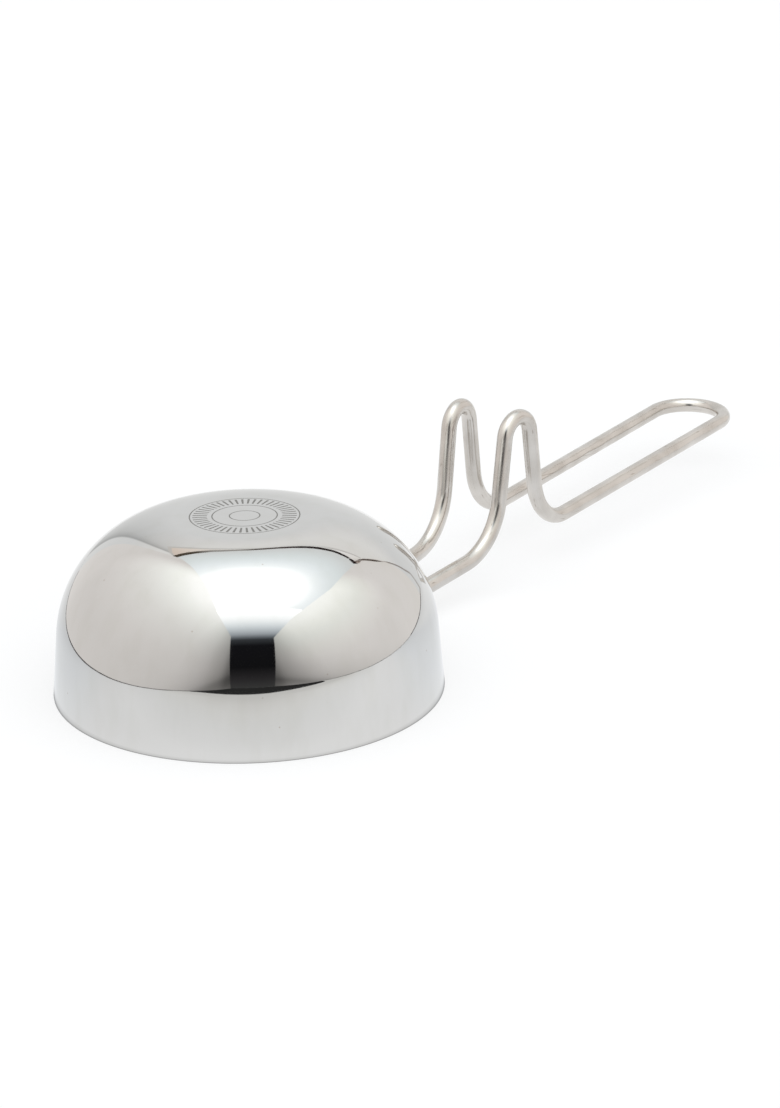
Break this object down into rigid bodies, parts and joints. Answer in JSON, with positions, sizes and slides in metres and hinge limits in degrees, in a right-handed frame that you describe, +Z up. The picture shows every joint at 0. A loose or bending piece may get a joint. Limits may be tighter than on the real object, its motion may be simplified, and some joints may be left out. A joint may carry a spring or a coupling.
{
  "type": "tadka pan",
  "caption": "Small round-shouldered steel bowl lying on its rim, with a long welded wire loop handle that has steadying humps near the bowl.",
  "frame": {"origin": "on the table that the rim lies on, under the middle of the whole length", "axes": "+Z up, from the rim towards the flat base, as the pan lies upside down in the picture; +X from the bowl along the handle; +Y to the left of the handle"},
  "size_m": [0.3222, 0.11, 0.0523],
  "materials": {
    "polished_steel": "mirror-polished stainless steel, not plated",
    "drawn_steel": "drawn stainless wire, electropolished to a soft shine",
    "weld_steel": "brushed weld metal"
  },
  "bodies": {
    "root": {"bowl": "polished_steel", "handle_wire": "drawn_steel", "weld_left": "weld_steel", "weld_right": "weld_steel"}
  },
  "joints": []
}
